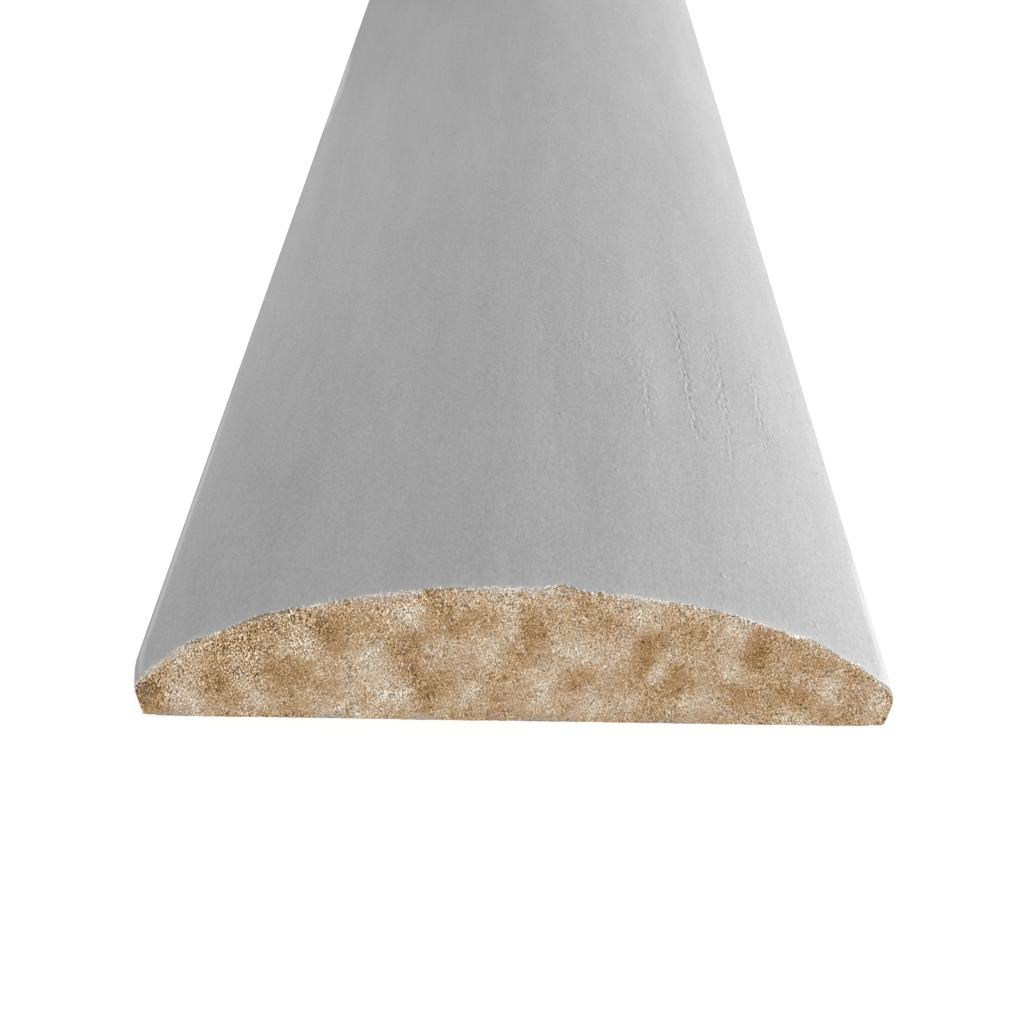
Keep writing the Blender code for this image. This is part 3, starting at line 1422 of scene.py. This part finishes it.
@dataclass(frozen=True)
class SawFuzz:
    """Loose fibres and crumbs of primer that the saw left on both ends, most of them along the crown.

    Each fibre is a thin three-sided tube on a curve that leaves the board, bends and tapers to its tip.
    Each crumb is an octahedron with every corner pushed in or out. A pair of counts is for the near end and
    the far one.
    """

    strip: Strip
    coat: PrimerCoat
    edge_fibres: tuple[int, int] = (1500, 600)
    face_fibres: tuple[int, int] = (3200, 1000)
    crumbs: tuple[int, int] = (2800, 1100)
    edge_length: tuple[float, float] = (0.06 * MM, 0.24 * MM)
    face_length: tuple[float, float] = (0.05 * MM, 0.18 * MM)
    radius: tuple[float, float] = (0.01 * MM, 0.024 * MM)
    crumb_radius: tuple[float, float] = (0.02 * MM, 0.055 * MM)
    bare_right: tuple[float, float] = (8.5 * MM, 11.0 * MM)
    rings: int = 3
    seed: int = 5

    def _along_crown(self, count: int, random: np.random.Generator) -> np.ndarray:
        """Places over the crown, in runs of more and less fuzz, and few of them low on the right.

        Args:
            count: How many places.
            random: The generator that picks them.

        Returns:
            Distances round the outline.
        """
        section = self.strip.section
        low = section.upper_corner - 0.4 * MM
        tries = random.uniform(low, section.girth - low, 6 * count)
        runs = fractal_noise(tries[:, None], 2.6 * MM, 3, self.seed + 90, 0.7)
        bare = smoothstep(*self.bare_right, section.girth / 2 - tries)
        weight = np.clip(0.25 + 1.3 * runs, 0.05, 1) * (1 - 0.85 * bare)
        return random.choice(tries, count, replace=False, p=weight / weight.sum())

    def _crown_height(self, x: np.ndarray) -> np.ndarray:
        """Height of the crown's surface.

        Args:
            x: Distances from the strip's middle.

        Returns:
            The height above each of them.
        """
        section = self.strip.section
        point = section.at(np.linspace(section.girth - section.upper_corner, section.upper_corner, 800))[0]
        return np.interp(x, point[:, 0], point[:, 1])

    def _roots(self, edge: int, face: int, random: np.random.Generator) -> tuple[np.ndarray, ...]:
        """Where fibres grow: first along the crown's edge, then over the cut.

        Args:
            edge: How many along the crown's edge.
            face: How many over the cut.
            random: The generator that places them.

        Returns:
            Roots and leaning directions as x, y, z with y out of the cut, then lengths and tones.
        """
        point, normal = self.strip.section.at(self._along_crown(edge, random))
        point = point - normal * np.abs(random.normal(0.05 * MM, 0.12 * MM, (edge, 1)))
        lean = random.normal(0, 0.7, (edge, 3))
        lean[:, [0, 2]] += normal * random.uniform(-0.3, 0.7, (edge, 1))
        lean[:, 1] = np.abs(lean[:, 1]) * 0.8 + 0.15

        # More of the face's fibres stand in its upper half and towards its left
        x = self.strip.section.width / 2 * (2 * random.uniform(0.015, 0.985, face) ** 1.2 - 1)
        z = self._crown_height(x) * random.uniform(0.01, 0.98, face) ** 0.8
        flat = random.normal(0, 1.0, (face, 3))
        flat[:, 1] = random.uniform(0.05, 0.5, face)
        roots = np.zeros((edge + face, 3))
        roots[:, [0, 2]] = np.concatenate([point, np.stack([x, z], -1)])
        lengths = [random.uniform(*self.edge_length, edge), random.uniform(*self.face_length, face)]
        tones = [random.uniform(0.2, 0.95, edge), random.uniform(0.0, 0.75, face)]
        return roots, np.concatenate([lean, flat]), np.concatenate(lengths), np.concatenate(tones)

    def _tubes(self, end: End, random: np.random.Generator) -> tuple[np.ndarray, np.ndarray]:
        """Vertices and tones of one end's fibres.

        The middle line of a fibre is its root plus its direction times the way along, plus a sideways bend
        times the square of that way. Three vertices stand round it at each ring, and the rings taper.

        Args:
            end: Which end.
            random: The generator that places and bends them.

        Returns:
            Vertices by fibre, ring and side, and one tone for each fibre.
        """
        which = list(End).index(end)
        roots, lean, lengths, tones = self._roots(self.edge_fibres[which], self.face_fibres[which], random)
        roots[:, 1] = self.strip.cut(end) - end.value * 0.03 * MM
        lean[:, 1] *= end.value
        lean = unit(lean)
        side = unit(np.cross(lean, random.normal(0, 1, lean.shape)))
        other = np.cross(lean, side)
        bend = random.uniform(0.1, 0.7, (len(roots), 1, 1)) * side[:, None]
        way = np.linspace(0, 1, self.rings)[None, :, None]
        middle = roots[:, None] + lengths[:, None, None] * (lean[:, None] * way + bend * way**2)
        taper = random.uniform(*self.radius, len(roots))[:, None] * (1 - 0.75 * way[..., 0] ** 2)
        angle = np.arange(3) * math.tau / 3
        ring = np.cos(angle)[None, :, None] * side[:, None] + np.sin(angle)[None, :, None] * other[:, None]
        return middle[:, :, None] + taper[:, :, None, None] * ring[:, None], tones

    def _crumbs(self, end: End, random: np.random.Generator) -> tuple[np.ndarray, np.ndarray]:
        """Vertices and tones of one end's crumbs: six corners each, on a small squashed octahedron.

        They lie on the torn rim of the primer, and on the bare board between the rim and the cut.

        Args:
            end: Which end.
            random: The generator that places, sizes and turns them.

        Returns:
            Vertices by crumb and corner, and one tone for each crumb.
        """
        count = self.crumbs[list(End).index(end)]
        place = self._along_crown(count, random)
        point, normal = self.strip.section.at(place)
        on_cut = random.uniform(0, 1, count) < 0.4
        depth = np.where(on_cut, random.uniform(0.15, 1.0, count) ** 1.5 * 0.2 * MM, 0.035 * MM)
        rim = self.coat.fray(place, end) + random.normal(-0.02 * MM, 0.05 * MM, count)
        back = np.where(on_cut, 0.0, np.clip(rim, 0, None))
        middle = np.zeros((count, 3))
        middle[:, [0, 2]] = point - normal * depth[:, None]
        middle[:, 1] = self.strip.cut(end) - end.value * back
        corners = np.array([[1, 0, 0], [0, 1, 0], [-1, 0, 0], [0, -1, 0], [0, 0, 1], [0, 0, -1]], float)
        size = random.uniform(*self.crumb_radius, (count, 1, 1)) * random.uniform(0.6, 1.4, (count, 6, 1))
        turn = np.linalg.qr(random.normal(0, 1, (count, 3, 3)))[0]
        turn *= np.sign(np.linalg.det(turn))[:, None, None]
        white = random.uniform(0, 1, count) < np.where(on_cut, 0.5, 0.8)
        tones = np.where(white, random.uniform(0.8, 1.0, count), random.uniform(0.1, 0.5, count))
        return middle[:, None] + size * (corners @ turn), tones

    def surface(self) -> Surface:
        """Both ends' fibres and crumbs as one mesh of small closed shapes, none of it below the back.

        Returns:
            The surface, with the tone of each shape.
        """
        random = np.random.default_rng(self.seed)
        tubes, tones = (np.concatenate(made) for made in zip(*[self._tubes(end, random) for end in End]))
        crumbs, whites = (np.concatenate(made) for made in zip(*[self._crumbs(end, random) for end in End]))
        count, rings, sides = tubes.shape[:3]
        numbers = np.arange(count * rings * sides).reshape(count, rings, sides)
        following = np.roll(numbers, -1, axis=2)
        walls = np.stack([numbers[:, :-1], following[:, :-1], following[:, 1:], numbers[:, 1:]], -1)
        caps = np.concatenate([numbers[:, 0, ::-1], numbers[:, -1]])
        corner = np.array([[k, (k + 1) % 4, 4] for k in range(4)] + [[(k + 1) % 4, k, 5] for k in range(4)])
        eights = tubes.size // 3 + np.arange(len(crumbs))[:, None, None] * 6 + corner
        for shapes in (tubes.reshape(count, -1, 3), crumbs):
            shapes[..., 2] -= np.minimum(shapes[..., 2].min(axis=1), 0)[:, None]
        made = Surface("saw_fuzz", np.concatenate([tubes.reshape(-1, 3), crumbs.reshape(-1, 3)]))
        strands = np.concatenate([np.repeat(tones, rings * sides), np.repeat(whites, 6)])
        made.values = {"strand_tone": strands}
        total = count + len(crumbs)
        made.add(walls.reshape(-1, 4), 0, self._places(0, count, (rings - 1) * sides, 4, total))
        made.add(caps, 0, self._places(0, count, 1, 3, total).repeat(2, axis=0))
        made.add(eights.reshape(-1, 3), 0, self._places(count, len(crumbs), 8, 3, total))
        return made

    @staticmethod
    def _places(first: int, count: int, faces: int, corners: int, total: int) -> np.ndarray:
        """Corners on the bake map: a small square for each shape, whose tone is the same all over.

        Args:
            first: Number of the first shape.
            count: How many shapes.
            faces: Faces of each shape.
            corners: Corners of each face.
            total: How many shapes there are in all.

        Returns:
            Places, one face to a row.
        """
        across = math.ceil(math.sqrt(total))
        shape = first + np.arange(count)
        low = np.stack([shape % across, shape // across], -1) / across
        square = np.array([[0.2, 0.2], [0.8, 0.2], [0.8, 0.8], [0.2, 0.8]])[:corners] / across
        placed = low[:, None, None] + square[None, None]
        return np.broadcast_to(placed, (count, faces, corners, 2)).reshape(-1, corners, 2)

    def build(self, wear: CornerWear) -> bpy.types.Object:
        """Build the fuzz, moved in with the rubbed corners, as loose fibre.

        Args:
            wear: How the near end's corners are rubbed.

        Returns:
            The piece.
        """
        made = self.surface()
        wear.rub(made.vertices)
        return made.build([FuzzFinish().material()], Slot.FIBREBOARD)


# Stage, light and camera


@dataclass(frozen=True)
class Lamp:
    """A soft rectangular light: where it hangs, its width and height, and its power in watts."""

    name: str
    place: tuple[float, float, float]
    size: tuple[float, float]
    power: float


@dataclass(frozen=True)
class Studio:
    """A white table under an even white sky, with a long soft light low on the right.

    The sky is places from -X, 0, to +X, 1, each with its brightness.
    """

    floor_size: float = 8.0
    floor_drop: float = 0.02 * MM
    floor_colour: str = "#C8C8C8"
    floor_glow: float = 0.62
    sky: tuple[tuple[float, float], ...] = ((0.0, 1.0), (0.13, 0.36), (0.5, 1.0), (1.0, 0.92))
    aim: tuple[float, float, float] = (0.0, 0.0, 3 * MM)
    lamps: tuple[Lamp, ...] = (
        Lamp("key_light", (0.45, 0.0, 0.028), (0.5, 0.05), 2.45),
        Lamp("front_light", (0.32, -0.4, 0.1), (0.12, 0.12), 0.35),
        Lamp("left_light", (-0.06, -0.01, 0.045), (0.03, 0.03), 0.011),
    )

    def floor(self) -> bpy.types.Object:
        """Lay the table: one wide square of back-lit acrylic, just under the strip's back.

        Returns:
            The floor.
        """
        reach = self.floor_size / 2
        mesh = bpy.data.meshes.new("floor")
        corners = [(-reach, -reach), (reach, -reach), (reach, reach), (-reach, reach)]
        mesh.from_pydata([(x, y, -self.floor_drop) for x, y in corners], [], [(0, 1, 2, 3)])
        material, tree, shader = new_material("opal_acrylic")
        looks = {
            "Base Color": linear(self.floor_colour),
            "Roughness": 0.9,
            "Specular IOR Level": 0.1,
            "Emission Color": (1.0, 1.0, 1.0, 1.0),
            "Emission Strength": self.floor_glow,
        }
        fill_inputs(tree, shader, looks)
        mesh.materials.append(material)
        table = bpy.data.objects.new("floor", mesh)
        bpy.context.scene.collection.objects.link(table)
        return table

    def light(self) -> None:
        """Set the even sky and hang the soft lights, which shine at the strip and aren't themselves seen."""
        scene = bpy.context.scene
        world = bpy.data.worlds.new("studio")
        world.use_nodes = True
        tree = world.node_tree
        direction = add_node(tree, "TexCoord", {}, "Generated")
        across = add_node(tree, "SeparateXYZ", {"Vector": direction}, "X")
        share = add_node(tree, "MapRange", {"Value": across, "From Min": -1.0})
        stops = {place: (level, level, level, 1.0) for place, level in self.sky}
        shade = add_node(tree, "ValToRGB", {"Fac": share}, stops=stops)
        fill_inputs(tree, tree.nodes["Background"], {"Color": shade})
        scene.world = world
        for lamp in self.lamps:
            light = bpy.data.lights.new(lamp.name, "AREA")
            light.shape = "RECTANGLE"
            light.size, light.size_y = lamp.size
            light.energy = lamp.power
            hung = bpy.data.objects.new(lamp.name, light)
            hung.location = lamp.place
            towards = Vector(self.aim) - Vector(lamp.place)
            hung.rotation_euler = towards.to_track_quat("-Z", "Y").to_euler()
            hung.visible_camera = False
            scene.collection.objects.link(hung)
        scene.view_settings.view_transform = "Standard"
        scene.view_settings.look = "None"


@dataclass(frozen=True)
class PhotoCamera:
    """The photograph's viewpoint: end on, above the strip's middle line and tilted down.

    aside, above and before are in widths of the strip, and focal is in pixels of the 1024 pixel frame.
    """

    strip: Strip
    focal: float = 1900.0
    frame: float = 1024.0
    aside: float = 0.0167
    above: float = 1.3983
    before: float = 2.0776
    pitch: float = math.radians(27.667)
    turn: float = math.radians(0.474)
    roll: float = math.radians(0.6)
    sensor: float = 36.0

    def place(self) -> bpy.types.Object:
        """Make the scene's camera.

        Returns:
            The camera.
        """
        level = math.cos(self.pitch)
        forward = Vector((-math.sin(self.turn) * level, math.cos(self.turn) * level, -math.sin(self.pitch)))
        right = forward.cross(Vector((0, 0, 1))).normalized()
        up = right.cross(forward)
        rolled_right = right * math.cos(self.roll) + up * math.sin(self.roll)
        rolled_up = up * math.cos(self.roll) - right * math.sin(self.roll)
        data = bpy.data.cameras.new("camera")
        data.sensor_width = self.sensor
        data.lens = self.focal / self.frame * self.sensor
        data.clip_start = 1 * MM
        camera = bpy.data.objects.new("camera", data)
        turned = Matrix((rolled_right, rolled_up, -forward)).transposed()
        where = Vector((self.aside, -self.before, self.above)) * self.strip.section.width
        camera.matrix_world = Matrix.Translation(where + Vector((0, self.strip.near, 0))) @ turned.to_4x4()
        bpy.context.scene.collection.objects.link(camera)
        bpy.context.scene.camera = camera
        return camera


# What shows on this strip, chosen from the photograph, with lengths in millimetres in the long lists

NEAR_CLUMPS = tuple(
    Clump(x * MM, z * MM, reach * MM, tone)
    for x, z, reach, tone in (
        *((-15.3, 1.25, 0.85, -1.75), (-14.6, 2.7, 0.5, -0.35), (-13.9, 0.8, 0.65, 0.9)),
        *((-12.8, 0.5, 0.6, 0.7), (-13.2, 2.7, 0.6, 0.3), (-12.0, 1.6, 0.6, -0.5), (-11.5, 3.6, 0.5, -0.4)),
        *((-10.7, 1.0, 0.7, 0.8), (-10.6, 2.3, 0.6, 0.4), (-9.4, 2.6, 0.7, -0.7), (-8.6, 2.2, 0.5, -0.6)),
        *((-9.5, 4.2, 0.5, -0.5), (-8.6, 1.1, 0.6, 0.1), (-8.4, 3.6, 0.55, 0.4), (-7.5, 4.2, 0.6, -0.65)),
        *((-7.2, 3.4, 0.4, -0.5), (-7.0, 1.3, 0.8, 0.4), (-5.5, 3.0, 0.65, 0.9), (-6.0, 4.6, 0.5, 0.2)),
        *((-4.9, 1.2, 0.65, 0.9), (-4.1, 5.0, 0.55, 1.3), (-4.0, 3.85, 0.45, -0.8), (-4.7, 3.1, 0.4, -0.7)),
        *((-4.1, 2.3, 0.5, -1.0), (-3.6, 1.5, 0.45, -0.9), (-3.5, 0.8, 0.4, -0.7), (-3.3, 3.0, 0.4, 0.4)),
        *((-2.6, 2.1, 0.45, -0.55), (-3.1, 1.1, 0.3, 0.6), (-1.8, 1.5, 0.6, 0.8), (-2.3, 4.9, 0.5, -0.4)),
        *((-0.6, 3.4, 0.8, 0.4), (-0.6, 1.1, 0.6, -0.2), (0.9, 4.3, 0.65, -1.1), (0.6, 5.3, 0.4, -0.4)),
        *((1.0, 3.4, 0.35, -0.5), (2.7, 3.4, 0.7, 0.7), (1.2, 1.6, 0.8, 0.4), (2.5, 1.9, 0.5, -0.9)),
        *((3.3, 2.4, 0.4, -0.5), (4.1, 4.7, 0.5, -0.8), (3.9, 1.1, 0.7, 0.4), (5.4, 5.2, 0.5, 0.9)),
        *((5.7, 3.8, 0.45, -1.45), (5.5, 3.0, 0.4, -1.0), (5.2, 2.5, 0.35, -0.8), (6.0, 2.3, 0.45, 0.5)),
        *((5.0, 1.0, 0.5, 0.6), (6.9, 2.4, 0.45, -1.1), (6.9, 1.6, 0.3, -0.6), (7.7, 1.1, 0.6, 0.9)),
        *((7.6, 2.9, 0.6, 0.3), (7.4, 4.5, 0.6, -0.4), (9.1, 4.3, 0.5, 0.9), (8.6, 0.9, 0.45, 0.6)),
        *((9.9, 3.4, 0.6, -1.7), (9.3, 1.5, 0.5, -0.3), (9.2, 2.6, 0.5, 0.2), (11.2, 2.6, 0.7, -0.3)),
        *((11.9, 1.3, 0.6, -1.1), (11.4, 3.6, 0.5, -0.2), (13.3, 1.9, 0.55, 0.8), (12.4, 3.0, 0.5, -0.2)),
        *((14.0, 2.3, 0.5, -0.6), (14.1, 1.2, 0.6, -0.6), (15.2, 1.3, 0.7, 0.75)),
    )
)

NEAR_SMEARS = (
    (-14.3 * MM, 1.2 * MM),
    (-7.35 * MM, 1.0 * MM),
    (-3.6 * MM, 0.75 * MM),
    (0.9 * MM, 2.4 * MM),
    (6.5 * MM, 1.15 * MM),
)

FAR_SMEARS = ((-6 * MM, 1.5 * MM), (8 * MM, 1.0 * MM))

GROOVES = (
    Groove(8.85 * MM, 16.3 * MM, 33.0 * MM, -0.2 * MM, 0.06 * MM, 88, 101),
    Groove(10.5 * MM, 15.5 * MM, 31.5 * MM, 0.42 * MM, 0.055 * MM, 60, 202),
    Groove(12.6 * MM, 17.0 * MM, 30.0 * MM, 0.38 * MM, 0.05 * MM, 34, 303),
    Groove(6.5 * MM, 17.0 * MM, 27.0 * MM, 0.0, 0.03 * MM, 36, 404),
)

# Paler and darker streaks along the edges; the first two are painted highlight and painted shade on the left
# shoulder
SHADING_STREAKS = (
    ShadingStreak(-16.56 * MM, 14.0 * MM, 0.18 * MM, 19.0 * MM, 1.0),
    ShadingStreak(-17.0 * MM, 24.0 * MM, 0.28 * MM, 11.0 * MM, -0.6),
    ShadingStreak(16.6 * MM, 2.0 * MM, 0.3 * MM, 13.0 * MM, 0.45),
    ShadingStreak(-16.7 * MM, 91.0 * MM, 0.75 * MM, 12.0 * MM, 0.9),
    ShadingStreak(-17.0 * MM, 77.0 * MM, 0.35 * MM, 4.0 * MM, -0.6),
)

NIB_PATCHES = tuple(
    NibPatch(arc * MM, along * MM, reach * MM, strength)
    for arc, along, reach, strength in (
        *((-10.1, 35.0, 1.0, 0.8), (-7.4, 20.9, 0.9, 0.8), (-6.3, 20.0, 0.9, 1.0), (-4.6, 19.2, 0.6, 0.6)),
        *((-9.0, 23.5, 0.6, 0.4), (-5.4, 29.8, 0.7, 0.4), (-4.5, 32.8, 0.7, 0.5), (-2.0, 21.5, 0.8, 0.4)),
        *((1.2, 28.0, 0.7, 0.5), (3.0, 26.2, 0.9, 0.7), (5.5, 24.6, 0.5, 0.8), (6.2, 30.4, 0.7, 0.8)),
        *((9.2, 17.6, 0.5, 0.9), (12.9, 19.8, 0.4, 0.8), (15.4, 27.9, 0.3, 0.9), (15.9, 18.8, 0.4, 1.0)),
    )
)


def main() -> None:
    """Load the frame, build the strip's pieces in order, and set the studio and camera."""
    logging.basicConfig(level=logging.INFO, format="%(name)s %(message)s")
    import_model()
    low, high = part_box(NODE)
    strip = Strip(Section(width=high.x - low.x, thickness=high.z - low.z), near=low.y, far=high.y)
    ends = (
        SawnEnd(End.NEAR, seed=21, clumps=NEAR_CLUMPS, smears=NEAR_SMEARS),
        SawnEnd(End.FAR, seed=57, stray_tone=0.55, smears=FAR_SMEARS),
    )
    wear = CornerWear(strip)
    coat = PrimerCoat(strip, GROOVES, NIB_PATCHES, SHADING_STREAKS)
    for part in (FibreboardCore(strip, ends), coat, SawFuzz(strip, coat)):
        piece = part.build(wear)
        mesh = piece.data
        triangles = len(mesh.loops) - 2 * len(mesh.polygons)
        log.info("%s: %d vertices, %d triangles", piece.name, len(mesh.vertices), triangles)

    studio = Studio()
    studio.floor()
    studio.light()
    PhotoCamera(strip).place()


if __name__ == "__main__":
    main()
